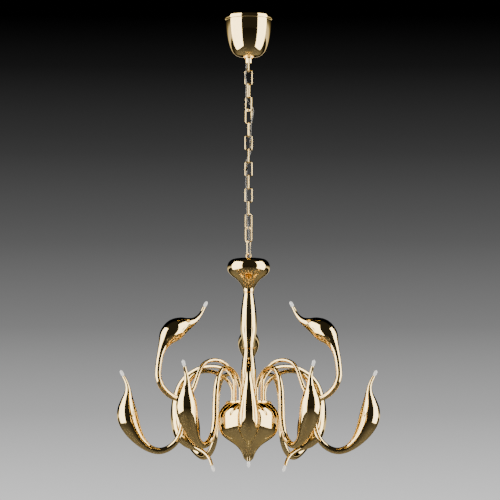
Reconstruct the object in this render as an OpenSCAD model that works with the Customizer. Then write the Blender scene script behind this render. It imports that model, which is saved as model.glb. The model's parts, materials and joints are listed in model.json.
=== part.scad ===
// Chandelier with twelve swan-neck arms, hung on a chain from a ceiling canopy.
// Origin: centre of the fitting on the ceiling face. +Z is up, -Y is the front.

/* [Ceiling fitting] */
// Outside diameter of the canopy at the ceiling
canopy_d = 134; // [120:1:180]
// Height of the canopy, ceiling to its lower hole
canopy_h = 117; // [95:1:150]
// Thickness of the spun canopy sheet
canopy_wall = 1.2; // [0.8:0.1:2]
// Height of the rolled band at the canopy rim
canopy_band_h = 11; // [6:1:16]
// Diameter of the hanger that holds the first link
hanger_d = 19; // [18:0.5:24]
// Distance between the two ceiling screw holes
strap_hole_pitch = 96; // [70:1:96]
// Diameter of the ceiling screw holes
strap_hole_d = 5.2; // [4:0.1:6]

/* [Chain] */
// Distance from one link to the next
link_pitch = 37.6; // [32:0.1:45]
// Outside width of a link
link_w = 23; // [21:0.5:28]
// Diameter of the link wire
link_wire = 3.6; // [3:0.1:4.4]
// Number of links
link_count = 15; // [6:1:15]

/* [Column] */
// Widest diameter of the cap at the top of the column
cap_d = 121; // [100:1:150]
// Height of the cap, its top disc to its neck
cap_h = 93; // [85:1:120]
// Diameter of the two rings on the column
ring_d = 28; // [26:0.5:34]
// Height of the vase between the rings
vase_h = 155; // [130:1:200]
// Widest diameter of the vase
vase_d = 46.4; // [38:0.2:60]
// Height of the lower column, lower ring to arm plate
lower_h = 148; // [130:1:200]
// Widest diameter of the lower column
lower_d = 43; // [36:0.5:54]
// Diameter of the threaded centre rod
rod_d = 8; // [8:1:10]

/* [Arms] */
// Diameter of the circle that the arms stand on
arm_ring_d = 90; // [86:1:104]
// Outside diameter of the arm tube at the plate
arm_tube_d = 9.8; // [9.2:0.1:11]
// Reach of the longest arms, from the arm circle to the end of the beak
arm_reach = 309; // [260:1:400]
// Thickness of the arm plate
plate_t = 6; // [4:0.5:9]
// Diameter of the arm plate
plate_d = 130; // [124:1:150]

/* [Bowl] */
// Widest diameter of the bowl
bowl_d = 174; // [160:1:200]
// Height of the bowl, plate to the seat of its end knob
bowl_h = 152; // [135:1:180]
// Thickness of the spun bowl sheet
bowl_wall = 1.4; // [1:0.1:2]

/* [Lamps and wiring] */
// Diameter of the bulb capsule
bulb_d = 9.4; // [8.6:0.1:11]
// Length of the bulb capsule outside the beak
bulb_len = 20; // [16:0.5:28]
// Length of the two bulb pins
pin_len = 8; // [6:0.5:9]
// Diameter of the supply cable
cable_d = 4; // [3:0.1:4]

/* [Hidden] */
$fn = 64;
fit_gap = 0.2;

// names of the sub-parts
ARM_KINDS = ["middle", "lower", "middle", "upper"];
function kind_of(k) = ARM_KINDS[k % 4];
function two_digits(k) = k < 10 ? str("0", k) : str(k);
function link_name(k) = str("link_", two_digits(k));
function arm_name(k) = str(kind_of(k), "_arm_", two_digits(k + 1));
function bulb_name(k) = str("bulb_", two_digits(k + 1));

arm_count = 12;

// ceiling fitting
strap_w = 24;
strap_t = 2.5;
strap_drop = 12;
strap_len = strap_hole_pitch + 24;
strap_centre_len = 60;
stud_r = 4;
nut_r = 7.5;
nut_h = 5;
shoulder_r = 12.5;
shoulder_h = 15.5;
ring_nut_r = 14.9;
ring_nut_h = 4;
bar_r = 2.2;
bar_z = -(canopy_h + 6.1);
hanger_r = hanger_d / 2;
hanger_bottom = bar_z - 12.9;
slot_w = link_wire + 1.6;
slot_top = bar_z + bar_r + link_wire + 2.1;
cable_r = cable_d / 2;
cable_hole_r = cable_r + 0.2;
hanger_cable_x = -6.4;
strap_under = -(strap_drop + strap_t);

// chain: every link hangs in the bottom bend of the link above it
wire_r = link_wire / 2;
link_half = (link_w - link_wire) / 2;
link_bend = 6;
link_len = link_pitch + link_wire + fit_gap;
link_1_z = bar_z + bar_r + wire_r + fit_gap;
// turn of each link about the vertical, 0 faces the front
LINK_TURN = [90, 0, 75, -35, 30, 95, 0, 90, 0, 90, 0, 90, 28, -32, 65];
function link_z(k) = link_1_z - (k - 1) * link_pitch;
chain_end = link_z(link_count) - link_len;

// column, from the cap's top disc down
loop_wire_r = 1.9;
loop_r = 6.5;
loop_z = chain_end + wire_r + loop_wire_r + fit_gap - loop_r;
loop_turn = LINK_TURN[link_count - 1] + 90;
boss_r = 9;
boss_h = 4;
cap_top = loop_z - loop_r - loop_wire_r - boss_h + 3;
cap_wall = 1.4;
ring_h = 5;
ring_1_top = cap_top - cap_h;
vase_top = ring_1_top - ring_h;
ring_2_top = vase_top - vase_h;
lower_top = ring_2_top - ring_h;
plate_top = lower_top - lower_h;
plate_bottom = plate_top - plate_t;
column_bore = 10.6;
rod_r = rod_d / 2;
cap_cable = [3, -9];
column_cable_y = -7.4;
plate_cable_y = -11.6;
base_bore = 14.6;
base_bore_h = 14;

// bowl and what it holds
bowl_bottom = plate_bottom - bowl_h;
knob_h = 12;
transformer_r = 33;
transformer_h = 46;
transformer_top = plate_bottom - 30;
transformer_bore = rod_r + 1.2;
lug_h = 6;

// arms: the points of each centreline as distance from the arm circle, height above the
// plate and radius in tube radii, before they are scaled to the arm's reach
tube_r = arm_tube_d / 2;
arm_ring_r = arm_ring_d / 2;
DESIGN_REACH = 309;
reach_scale = arm_reach / DESIGN_REACH;
stub_len = 24;
stub_top = 2;
MIDDLE_ARM = [
    [0, 2, 1], [0, 32, 1], [7, 50, 1], [20, 66, 1.03], [45, 81, 1.08], [73, 87, 1.15], [102, 81, 1.25],
    [124, 58, 1.4], [136, 24, 1.55], [140, -16, 1.62], [142, -62, 1.67], [150, -95, 1.72],
    [165, -119, 1.77], [188, -135, 1.83], [212, -139, 1.95], [238, -130, 2.3], [262, -109, 3.4],
    [282, -80, 5.0], [295, -50, 6.0], [299, -24, 5.6], [298, 1, 4.0], [296, 23, 2.3], [297, 42, 1.3],
    [302, 58, 0.95], [309, 72, 0.88]
];
UPPER_ARM = [
    [0, 2, 1], [0, 52, 1], [4, 69, 1], [12, 84, 1], [27, 101, 1.03], [50, 112, 1.06], [76, 112, 1.1],
    [99, 102, 1.13], [114, 82, 1.16], [125, 54, 1.2], [136, 28, 1.3], [153, 7, 1.45], [177, -1, 1.6],
    [201, 4, 1.7], [223, 18, 1.75], [239, 37, 1.75], [247, 62, 1.75], [245, 94, 1.8], [238, 127, 2.1],
    [228, 152, 3.3], [215, 174, 5.4], [195, 192, 6.2], [173, 204, 5.2], [149, 213, 3.2],
    [129, 223, 1.8], [112, 240, 1.02], [100, 261, 0.88]
];
LOWER_ARM = [
    [0, 2, 1], [0, 46, 1], [4, 64, 1], [13, 80, 1], [29, 95, 1.03], [55, 104, 1.08], [86, 106, 1.14],
    [117, 102, 1.22], [141, 92, 1.35], [161, 79, 1.5], [177, 61, 1.75], [186, 38, 2.4], [188, 14, 3.4],
    [185, -16, 4.7], [177, -50, 5.9], [165, -80, 6.2], [148, -104, 4.6], [128, -121, 2.4],
    [107, -134, 1.35], [91, -146, 1.02], [81, -160, 0.9], [75, -176, 0.88]
];
function arm_points(kind) = kind == "upper" ? UPPER_ARM : kind == "lower" ? LOWER_ARM : MIDDLE_ARM;
function placed(p) = [
    arm_ring_r + reach_scale * p[0],
    stub_top + reach_scale * (p[1] - stub_top),
    tube_r * p[2]
];
function arm_turn(k) = k * 360 / arm_count;

// Catmull-Rom curve through a list of points, step parts to each span
function at(P, i) = P[max(0, min(len(P) - 1, i))];
function curve_point(P, i, t) = 0.5 * (
    2 * at(P, i)
    + t * (at(P, i + 1) - at(P, i - 1))
    + t * t * (2 * at(P, i - 1) - 5 * at(P, i) + 4 * at(P, i + 1) - at(P, i + 2))
    + t * t * t * (3 * at(P, i) - at(P, i - 1) - 3 * at(P, i + 1) + at(P, i + 2))
);
function curve(P, step) = concat(
    [for (i = [0:len(P) - 2], s = [0:step - 1]) curve_point(P, i, s / step)],
    [P[len(P) - 1]]
);
function unit(v) = v / norm(v);
function tangent(C, i) = unit(at(C, i + 1) - at(C, i - 1));

// a swept arm lies in one upright plane, so its rings need only a tangent in that plane
ARM_SIDES = 10;
function in_plane(P) = [for (p = P) [p[0], p[1]]];
function arm_ring(C, r, i) = [
    for (j = [0:ARM_SIDES - 1])
        let (t = tangent(C, i), a = 360 * j / ARM_SIDES)
        [C[i][0] + r * cos(a) * t[1], r * sin(a), C[i][1] - r * cos(a) * t[0]]
];
function arm_wall(r) = min(0.18 * r + 0.2, 2.6);
function ring_faces(start, rings, sides, flip) = [
    for (i = [0:rings - 2], j = [0:sides - 1])
        let (a = start + i * sides + j, b = start + i * sides + (j + 1) % sides)
        flip ? [a, b, b + sides, a + sides] : [a, a + sides, b + sides, b]
];
function end_faces(a, b, sides, flip) = [
    for (j = [0:sides - 1])
        let (n = (j + 1) % sides)
        flip ? [a + j, b + j, b + n, a + n] : [a + j, a + n, b + n, b + j]
];

// hollow tube from the foot of its stub to the beak: outer rings, then inner rings
module hollow_arm(P) {
    C = concat([[arm_ring_r, stub_top - stub_len, tube_r]], [for (p = P) placed(p)]);
    n = len(C);
    points = [
        for (wall = [0, 1], i = [0:n - 1])
            each arm_ring(in_plane(C), C[i][2] - wall * arm_wall(C[i][2]), i)
    ];
    first_in = n * ARM_SIDES;
    last = (n - 1) * ARM_SIDES;
    polyhedron(points, concat(
        ring_faces(0, n, ARM_SIDES, false),
        ring_faces(first_in, n, ARM_SIDES, true),
        end_faces(0, first_in, ARM_SIDES, false),
        end_faces(last, first_in + last, ARM_SIDES, true)
    ), convexity = 12);
}

// solid tube of one radius along free points, its rings turned as little as possible
function turned_side(s, t) = unit(s - (s * t) * t);
function sides_along(C, i, s) = i == len(C) ? [] : let (n = turned_side(s, tangent(C, i)))
    concat([n], sides_along(C, i + 1, n));
module cord(C, r, sides, first_side) {
    S = sides_along(C, 0, first_side);
    n = len(C);
    points = [
        for (i = [0:n - 1], j = [0:sides - 1])
            let (a = 360 * j / sides, t = tangent(C, i))
            C[i] + r * (cos(a) * S[i] + sin(a) * cross(t, S[i]))
    ];
    polyhedron(points, concat(
        ring_faces(0, n, sides, false),
        [[for (j = [0:sides - 1]) j]],
        [[for (j = [sides - 1:-1:0]) (n - 1) * sides + j]]
    ), convexity = 12);
}

module ring(r_out, r_in, z_top, h) {
    translate([0, 0, z_top - h]) difference() {
        cylinder(r = r_out, h = h);
        translate([0, 0, -1]) cylinder(r = r_in, h = h + 2);
    }
}
module hex_nut(r, bore, z_top, h) {
    translate([0, 0, z_top - h]) difference() {
        cylinder(r = r, h = h, $fn = 6);
        translate([0, 0, -1]) cylinder(r = bore, h = h + 2);
    }
}

// half of a shell's outline, as radius and depth under its top, down the outside and
// back up the inside one wall thickness in
function side_normal(P, i) = let (t = tangent(P, i)) [-t[1], t[0]];
function inset_outline(P, w) = [
    for (i = [0:len(P) - 1]) let (q = P[i] - w * side_normal(P, i)) [max(0.01, q[0]), q[1]]
];
function reversed(P) = [for (i = [len(P) - 1:-1:0]) P[i]];

// the strap stands off the ceiling in its middle so that the hanger's nuts fit on both sides
module ceiling_strap() color("silver") {
    difference() {
        union() {
            for (s = [-1, 1]) {
                translate([s * (strap_len + strap_centre_len) / 4 - (strap_len - strap_centre_len) / 4,
                    -strap_w / 2, -strap_t])
                    cube([(strap_len - strap_centre_len) / 2, strap_w, strap_t]);
                translate([s * (strap_centre_len - strap_t) / 2 - strap_t / 2, -strap_w / 2, strap_under])
                    cube([strap_t, strap_w, strap_drop + strap_t]);
            }
            translate([-strap_centre_len / 2, -strap_w / 2, strap_under])
                cube([strap_centre_len, strap_w, strap_t]);
        }
        for (s = [-1, 1])
            translate([s * strap_hole_pitch / 2, 0, -strap_t - 1])
                cylinder(r = strap_hole_d / 2, h = strap_t + 2);
        translate([0, 0, strap_under - 1]) cylinder(r = stud_r + fit_gap / 2, h = strap_t + 2);
    }
}

// stud, threaded shoulder for the ring nut and slotted eye with a bar for the first link
module hanger() color("gold") {
    shoulder_top = -canopy_h - 2.5 + shoulder_h;
    difference() {
        union() {
            translate([0, 0, hanger_bottom]) cylinder(r = hanger_r, h = shoulder_top - hanger_bottom);
            translate([0, 0, shoulder_top - shoulder_h]) cylinder(r = shoulder_r, h = shoulder_h);
            translate([0, 0, shoulder_top - 1]) cylinder(r = stud_r, h = -2.5 - shoulder_top + 1);
        }
        translate([-slot_w / 2, -shoulder_r - 1, hanger_bottom - 1])
            cube([slot_w, 2 * shoulder_r + 2, slot_top - hanger_bottom + 1]);
        translate([hanger_cable_x, 0, hanger_bottom - 1])
            cylinder(r = cable_hole_r, h = shoulder_top - hanger_bottom + 2);
    }
    translate([-slot_w / 2 - 0.4, 0, bar_z]) rotate([0, 90, 0]) cylinder(r = bar_r, h = slot_w + 0.8);
}

module hanger_nuts() color("silver") {
    hex_nut(nut_r, stud_r, strap_under + strap_t + nut_h, nut_h);
    hex_nut(nut_r, stud_r, strap_under, nut_h);
}

// two-pole connector screwed to the underside of the strap
block_x = -31;
block_size = [22, 16, 14];
module terminal_block() color("white") {
    difference() {
        translate([block_x - block_size[0] / 2, -block_size[1] / 2, strap_under - block_size[2]])
            cube(block_size);
        for (s = [-1, 1])
            translate([block_x + 3, s * block_size[1] / 4, strap_under - block_size[2] - 1])
                cylinder(r = 1.6, h = 7);
    }
}

// the canopy's outside: a straight band, a slow curve and a round end with a flat seat
function canopy_side(t) = [
    ring_nut_r + (canopy_d / 2 - 2 - ring_nut_r) * pow(cos(t), 0.62),
    -canopy_band_h - (canopy_h - canopy_band_h) * pow(sin(t), 1.25)
];
module canopy() color("gold") {
    r = canopy_d / 2;
    w = canopy_wall;
    outside = concat(
        [[r - 1.5, 0], [r, -1.5], [r, -canopy_band_h + 2], [r - 1, -canopy_band_h + 0.4]],
        [for (t = [4:6:88]) canopy_side(t)],
        [[ring_nut_r, -canopy_h]]
    );
    inside = concat(
        [[r - 1.5 - w, 0], [r - w - 0.3, -1.5], [r - w - 0.3, -canopy_band_h + 2],
            [r - 1 - w - 0.5, -canopy_band_h + 0.4]],
        [for (t = [4:6:82]) canopy_side(t) + [-w * cos(t) - 0.2, w * sin(t)]],
        [[ring_nut_r - 0.6, -canopy_h + w]]
    );
    rotate_extrude() polygon(concat(
        outside,
        [[shoulder_r + fit_gap, -canopy_h], [shoulder_r + fit_gap, -canopy_h + w]],
        reversed(inside)
    ));
}

module canopy_ring() color("gold") {
    difference() {
        ring(ring_nut_r, shoulder_r, -canopy_h, ring_nut_h);
        for (a = [0:15:345])
            rotate([0, 0, a]) translate([ring_nut_r + 0.5, 0, -canopy_h - ring_nut_h - 1])
                cylinder(r = 0.9, h = ring_nut_h + 2, $fn = 16);
    }
}

// one link as a rounded rectangle of wire, hanging from z = 0 at the middle of its top wire
module link_bar(a, b) {
    d = b - a;
    translate(a) rotate([0, d[0] == 0 ? 0 : 90, 0]) cylinder(r = wire_r, h = norm(d), $fn = 24);
}
module link_corner(x, z, from) {
    translate([x, 0, z]) rotate([90, 0, 0])
        rotate_extrude(angle = 90, start = from, $fn = 48)
            translate([link_bend, 0]) circle(r = wire_r, $fn = 24);
}
module link_solid() {
    flat = link_half - link_bend;
    low = -link_len;
    link_bar([-flat, 0, 0], [flat, 0, 0]);
    link_bar([-flat, 0, low], [flat, 0, low]);
    link_bar([-link_half, 0, low + link_bend], [-link_half, 0, -link_bend]);
    link_bar([link_half, 0, low + link_bend], [link_half, 0, -link_bend]);
    link_corner(flat, -link_bend, 0);
    link_corner(-flat, -link_bend, 90);
    link_corner(-flat, low + link_bend, 180);
    link_corner(flat, low + link_bend, 270);
}
module chain_link(k) color("gold") {
    translate([0, 0, link_z(k)]) rotate([0, 0, LINK_TURN[k - 1]]) link_solid();
}

// ring that the last link holds, on a boss that the centre rod screws into
module top_loop() color("gold") {
    difference() {
        union() {
            translate([0, 0, loop_z]) rotate([90, 0, loop_turn])
                rotate_extrude() translate([loop_r, 0]) circle(r = loop_wire_r, $fn = 24);
            translate([0, 0, cap_top]) cylinder(r = boss_r, h = boss_h);
        }
        translate([0, 0, cap_top - 1]) cylinder(r = rod_r, h = boss_h - 0.5);
        translate([cap_cable[0], cap_cable[1], cap_top - 1]) cylinder(r = cable_hole_r + 0.6, h = boss_h + 2);
    }
}

// outline of the cap as radius in shares of its largest, depth in shares of its height
CAP_SIDE = [
    [0.60, 0], [0.74, 0.010], [0.85, 0.045], [0.94, 0.11], [0.99, 0.19], [1, 0.255], [0.985, 0.33],
    [0.93, 0.41], [0.82, 0.49], [0.69, 0.555], [0.56, 0.62], [0.45, 0.70], [0.36, 0.78],
    [0.29, 0.86], [0.245, 0.93], [0.235, 1]
];
module shell(side, r, h, z_top, wall, bore) {
    P = [for (p = curve([for (q = side) q], 2)) [p[0] * r, -p[1] * h]];
    I = inset_outline(P, wall);
    kept = [for (q = I) if (q[0] > bore && q[1] < -wall && q[1] > -h) q];
    translate([0, 0, z_top]) rotate_extrude() polygon(concat(
        [[bore, 0]], P, [[bore, -h]],
        [[bore, -h + 0.01]], reversed(kept), [[bore, -wall]]
    ));
}
module cap() color("gold") {
    difference() {
        shell(CAP_SIDE, cap_d / 2, cap_h, cap_top, cap_wall, column_bore);
        translate([cap_cable[0], cap_cable[1], cap_top - cap_wall - 1])
            cylinder(r = cable_hole_r, h = cap_wall + 2);
    }
}

// a small half-round ring over each joint of the column
module column_rings() color("gold") {
    for (z = [ring_1_top, ring_2_top])
        translate([0, 0, z - ring_h / 2]) rotate_extrude() difference() {
            union() {
                translate([column_bore, -ring_h / 2]) square([ring_d / 2 - column_bore - 1, ring_h]);
                intersection() {
                    translate([ring_d / 2 - ring_h / 2 + 0.4, 0]) circle(r = ring_h / 2, $fn = 32);
                    translate([column_bore, -ring_h / 2]) square([ring_d, ring_h]);
                }
            }
        }
}

// outlines of the column pieces as radius in shares of the largest, depth in shares of the height
VASE_SIDE = [
    [0.60, 0], [0.66, 0.05], [0.74, 0.12], [0.83, 0.21], [0.91, 0.30], [0.965, 0.39], [0.995, 0.48],
    [1, 0.56], [0.98, 0.65], [0.93, 0.73], [0.86, 0.80], [0.77, 0.87], [0.68, 0.93], [0.61, 1]
];
LOWER_SIDE = [
    [0.63, 0], [0.67, 0.06], [0.74, 0.12], [0.81, 0.18], [0.87, 0.24], [0.93, 0.32], [0.975, 0.40],
    [1, 0.50], [1, 0.60], [0.985, 0.70], [0.97, 0.80], [0.955, 0.90], [0.95, 1]
];
module turned(side, r, h, z_top) {
    P = [for (p = curve(side, 2)) [p[0] * r, -p[1] * h]];
    translate([0, 0, z_top]) rotate_extrude()
        polygon(concat([[column_bore, 0]], P, [[column_bore, -h]]));
}
module column_vase() color("gold") {
    turned(VASE_SIDE, vase_d / 2, vase_h, vase_top);
}
module column_lower() color("gold") {
    difference() {
        turned(LOWER_SIDE, lower_d / 2, lower_h, lower_top);
        translate([0, 0, plate_top - 1]) cylinder(r = base_bore, h = base_bore_h + 1);
        translate([0, 0, plate_top + base_bore_h - 0.01])
            cylinder(r1 = base_bore, r2 = column_bore, h = 6);
    }
}

module centre_rod() color("silver") {
    rod_bottom = bowl_bottom - knob_h + 5;
    rod_top = cap_top + boss_h - 1.6;
    translate([0, 0, rod_bottom]) cylinder(r = rod_r, h = rod_top - rod_bottom);
}
module rod_nuts() color("silver") {
    hex_nut(nut_r, rod_r, plate_bottom, nut_h);
    hex_nut(nut_r, rod_r, transformer_top - transformer_h - lug_h, nut_h);
}

module arm_plate() color("gold") {
    difference() {
        translate([0, 0, plate_bottom]) rotate_extrude() polygon([
            [0, 0], [plate_d / 2 - 1, 0], [plate_d / 2, 1], [plate_d / 2, plate_t - 1.5],
            [plate_d / 2 - 1.5, plate_t], [0, plate_t]
        ]);
        translate([0, 0, plate_bottom - 1]) cylinder(r = rod_r + fit_gap / 2, h = plate_t + 2);
        translate([0, plate_cable_y, plate_bottom - 1]) cylinder(r = cable_hole_r, h = plate_t + 2);
        for (k = [0:arm_count - 1])
            rotate([0, 0, arm_turn(k)]) translate([arm_ring_r, 0, plate_bottom - 1])
                cylinder(r = tube_r + fit_gap / 2, h = plate_t + 2);
    }
}

// bowl outline from its rim to its pointed end
BOWL_SIDE = [
    [0.735, 0], [0.81, 0.035], [0.90, 0.10], [0.965, 0.17], [0.995, 0.24], [1, 0.30], [0.99, 0.38],
    [0.965, 0.46], [0.92, 0.53], [0.84, 0.595], [0.73, 0.65], [0.60, 0.70], [0.47, 0.75],
    [0.36, 0.805], [0.275, 0.865], [0.21, 0.93], [0.165, 1]
];
module bowl() color("gold") {
    P = [for (p = curve(BOWL_SIDE, 2)) [p[0] * bowl_d / 2, -p[1] * bowl_h]];
    I = inset_outline(P, bowl_wall);
    seat = 3;
    kept = [for (q = I) if (q[1] > -bowl_h + seat) [q[0], min(0, q[1])]];
    difference() {
        translate([0, 0, plate_bottom]) rotate_extrude() polygon(concat(
            P, [[0, -bowl_h], [0, -bowl_h + seat]], reversed(kept)
        ));
        translate([0, 0, bowl_bottom - 1]) cylinder(r = rod_r + fit_gap / 2, h = seat + 2);
    }
}
module end_knob() color("gold") {
    r = 0.165 * bowl_d / 2;
    difference() {
        translate([0, 0, bowl_bottom]) rotate_extrude() polygon([
            [0, 0], [r, 0], [r * 0.95, -2.2], [r * 0.85, -4.6], [r * 0.68, -7.2], [r * 0.46, -9.6],
            [r * 0.22, -11.4], [0, -knob_h]
        ]);
        translate([0, 0, bowl_bottom - knob_h + 5]) cylinder(r = rod_r, h = knob_h);
    }
}

module arm_nuts() color("silver") {
    for (k = [0:arm_count - 1])
        rotate([0, 0, arm_turn(k)]) translate([arm_ring_r, 0, 0]) {
            ring(tube_r + 4, tube_r, plate_bottom, 1.2);
            hex_nut(tube_r + 3.2, tube_r, plate_bottom - 1.2, 5);
        }
}

// one arm: its stub goes down through the plate, its neck and head stand above it
module arm(k) color("gold") {
    rotate([0, 0, arm_turn(k)]) translate([0, 0, plate_top]) hollow_arm(arm_points(kind_of(k)));
}

// frame at the end of an arm: the local z axis points out of the beak
function beak(P) = placed(P[len(P) - 1]);
function beak_tangent(P) = tangent(in_plane([for (p = P) placed(p)]), len(P) - 1);
module at_beak(k) {
    P = arm_points(kind_of(k));
    b = beak(P);
    t = beak_tangent(P);
    rotate([0, 0, arm_turn(k)]) translate([b[0], 0, plate_top + b[1]])
        rotate([0, atan2(t[0], t[1]), 0]) children();
}
pin_x = 2;
pin_r = 0.4;
socket_r = 2.9 * tube_r / 4.9;
socket_len = pin_len + 3;
socket_sunk = 1;
module lamp_sockets() color("ivory") {
    for (k = [0:arm_count - 1])
        at_beak(k) difference() {
            translate([0, 0, -socket_sunk - socket_len]) cylinder(r = socket_r, h = socket_len, $fn = 32);
            for (s = [-1, 1])
                translate([s * pin_x, 0, -socket_sunk - pin_len - 1])
                    cylinder(r = pin_r + 0.1, h = pin_len + 2, $fn = 16);
        }
}
module bulb(k) color("white") {
    r = bulb_d / 2;
    foot_r = socket_r;
    at_beak(k) {
        rotate_extrude($fn = 48) polygon(concat(
            [[0, -socket_sunk + 0.3], [foot_r - 0.4, -socket_sunk + 0.3], [foot_r, 1], [foot_r + 0.3, 2.2],
                [r - 0.6, 3.6], [r, 5.4], [r, bulb_len - 8]],
            [for (a = [10:10:80]) [1.2 + (r - 1.2) * cos(a), bulb_len - 8 + 6.4 * sin(a)]],
            [[1.2, bulb_len - 1.6], [0.8, bulb_len - 0.4], [0, bulb_len]]
        ));
        for (s = [-1, 1])
            translate([s * pin_x, 0, -socket_sunk - pin_len])
                cylinder(r = pin_r, h = pin_len + 0.6, $fn = 16);
    }
}

// ring-shaped potted transformer clamped on the centre rod, with a terminal lug on top
module transformer() color("black") {
    difference() {
        translate([0, 0, transformer_top - transformer_h]) rotate_extrude() polygon([
            [transformer_bore, 0], [transformer_r - 3, 0], [transformer_r, 3],
            [transformer_r, transformer_h - 3], [transformer_r - 3, transformer_h],
            [transformer_bore, transformer_h]
        ]);
    }
    ring(rod_r + 8, rod_r, transformer_top - transformer_h, lug_h);
}

// twin wire inside each arm, from the transformer to the socket
wire_core_r = 1.1;
module arm_wiring() color("white") {
    for (k = [0:arm_count - 1]) {
        P = [for (p = arm_points(kind_of(k))) placed(p)];
        n = len(P);
        b = P[n - 1];
        t = beak_tangent(arm_points(kind_of(k)));
        back = socket_sunk + socket_len + 0.4;
        end = [b[0] - back * t[0], 0, b[1] - back * t[1]];
        start_z = transformer_top - plate_top + 0.4;
        route = concat(
            [[transformer_r - 5, 0, start_z], [transformer_r - 4, 0, start_z + 4],
                [arm_ring_r - 3, 0, start_z + 7], [arm_ring_r, 0, start_z + 14]],
            [for (i = [0:n - 3]) [P[i][0], 0, P[i][1]]],
            [end]
        );
        rotate([0, 0, arm_turn(k)]) translate([0, 0, plate_top])
            cord(route, wire_core_r, 6, [0, 1, 0]);
    }
}

// supply cable: out of the terminal block, down through the hanger, woven along the chain,
// into the cap and down inside the column to the transformer
CHAIN_CABLE = [
    [-6.4, 0, -150], [-6.2, -5, -157], [-9, -6.4, -170], [-8.6, -6.2, -182], [-6.4, -5, -196],
    [-7.6, -4, -215], [-6.6, -2.6, -233], [-4, -2.2, -243], [2.6, -0.6, -252], [10, -0.8, -261],
    [13.4, -2, -271], [11.5, -3.4, -288], [7.4, -4.4, -308], [6.6, -5.6, -327], [5.6, -5.4, -346],
    [5.4, -4.6, -356], [4.2, 0, -366], [5.4, 4.6, -375], [5.4, 5.4, -384], [4.8, 5.4, -394],
    [0, 4.4, -403], [-4.6, 5.2, -412], [-5.4, 5.2, -421], [-5.2, 4.6, -431], [-4.4, 0, -440],
    [-5.4, -4.8, -449], [-5.4, -5.4, -459], [-7.6, -6.4, -478], [-5.4, -5.2, -497],
    [-6.6, -7, -516], [-5.2, -5.4, -534], [-5, -7.6, -553], [-4.8, -7.4, -572],
    [-3, -8.6, -590], [-0.6, -8, -609], [1.6, -8.6, -628], [2.2, -7.4, -647], [3.4, -8.6, -668]
];
module supply_cable() color("lightgrey") {
    route = concat(
        [[-28, 0, strap_under - block_size[2]], [-27.6, 0, -45], [-20, 0, -66], [-10, 0, -84],
            [hanger_cable_x, 0, -98], [hanger_cable_x, 0, hanger_bottom]],
        CHAIN_CABLE,
        [[cap_cable[0], cap_cable[1], cap_top + boss_h + 4], [cap_cable[0], cap_cable[1], cap_top - 4],
            [1, -8, cap_top - 30], [0, column_cable_y, cap_top - 60], [0, column_cable_y, ring_2_top],
            [0, column_cable_y, plate_top + 22], [0, plate_cable_y, plate_top + 7],
            [0, plate_cable_y, plate_bottom - 10], [0, plate_cable_y - 1, transformer_top + 0.5]]
    );
    cord(route, cable_r, 8, [0, 1, 0]);
}

ceiling_strap();
hanger();
hanger_nuts();
terminal_block();
canopy();
canopy_ring();
for (k = [1:link_count]) chain_link(k);
top_loop();
cap();
column_rings();
column_vase();
column_lower();
centre_rod();
rod_nuts();
arm_plate();
bowl();
end_knob();
arm_nuts();
lamp_sockets();
transformer();
arm_wiring();
supply_cable();
for (k = [0:arm_count - 1]) arm(k);
for (k = [0:arm_count - 1]) bulb(k);
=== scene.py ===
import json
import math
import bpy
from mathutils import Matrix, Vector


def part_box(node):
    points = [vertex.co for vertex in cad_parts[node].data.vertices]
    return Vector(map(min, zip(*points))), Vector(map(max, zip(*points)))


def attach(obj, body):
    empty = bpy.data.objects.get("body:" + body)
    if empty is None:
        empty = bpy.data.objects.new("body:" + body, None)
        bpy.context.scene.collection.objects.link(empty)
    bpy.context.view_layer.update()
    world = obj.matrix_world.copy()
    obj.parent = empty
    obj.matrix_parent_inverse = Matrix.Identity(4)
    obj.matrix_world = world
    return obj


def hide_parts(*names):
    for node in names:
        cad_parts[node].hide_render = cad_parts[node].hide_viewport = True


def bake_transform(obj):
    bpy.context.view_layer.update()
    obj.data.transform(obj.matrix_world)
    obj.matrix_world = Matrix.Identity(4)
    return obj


bl_info = {
    "name": "Swan Neck Chandelier",
    "version": (1, 0, 0),
    "blender": (4, 5, 0),
    "location": "View3D > Sidebar > Chandelier",
    "description": "Builds a polished chandelier on its chain, around the packed frame",
    "category": "Add Mesh",
}

import bmesh
import bpy
from bpy.props import FloatProperty, FloatVectorProperty, IntProperty, PointerProperty
from mathutils import Matrix, Vector

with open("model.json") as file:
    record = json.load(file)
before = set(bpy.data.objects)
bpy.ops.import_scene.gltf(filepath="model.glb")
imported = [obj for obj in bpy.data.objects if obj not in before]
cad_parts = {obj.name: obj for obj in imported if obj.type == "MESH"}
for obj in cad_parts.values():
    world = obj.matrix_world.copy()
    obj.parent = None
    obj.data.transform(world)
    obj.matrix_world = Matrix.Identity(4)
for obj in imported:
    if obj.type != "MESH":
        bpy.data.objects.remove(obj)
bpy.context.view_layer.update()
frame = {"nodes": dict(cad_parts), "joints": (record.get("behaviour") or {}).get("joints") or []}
MM = 0.001
MERGE_DISTANCE = 1e-6
SMALL_TURN_STEPS = 64
CORNER_STEPS = 12
ROUTE_STEPS = 6
ARM_STEPS = 8

# ---------------------------------------------------------------- places from the frame


def top(node):
    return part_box(node)[1].z


def bottom(node):
    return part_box(node)[0].z


def radius_of(node):
    return (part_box(node)[1].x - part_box(node)[0].x) / 2


JOINTS = {joint["name"]: joint for joint in frame["joints"]}
LINKS = sorted(name for name in frame["nodes"] if name.startswith("link_"))
ARMS = sorted((name for name in frame["nodes"] if "_arm_" in name), key=lambda name: name[-2:])
BULBS = sorted(name for name in frame["nodes"] if name.startswith("bulb_"))
PLATE_TOP = top("arm_plate")


# ---------------------------------------------------------------- outlines and routes

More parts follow.
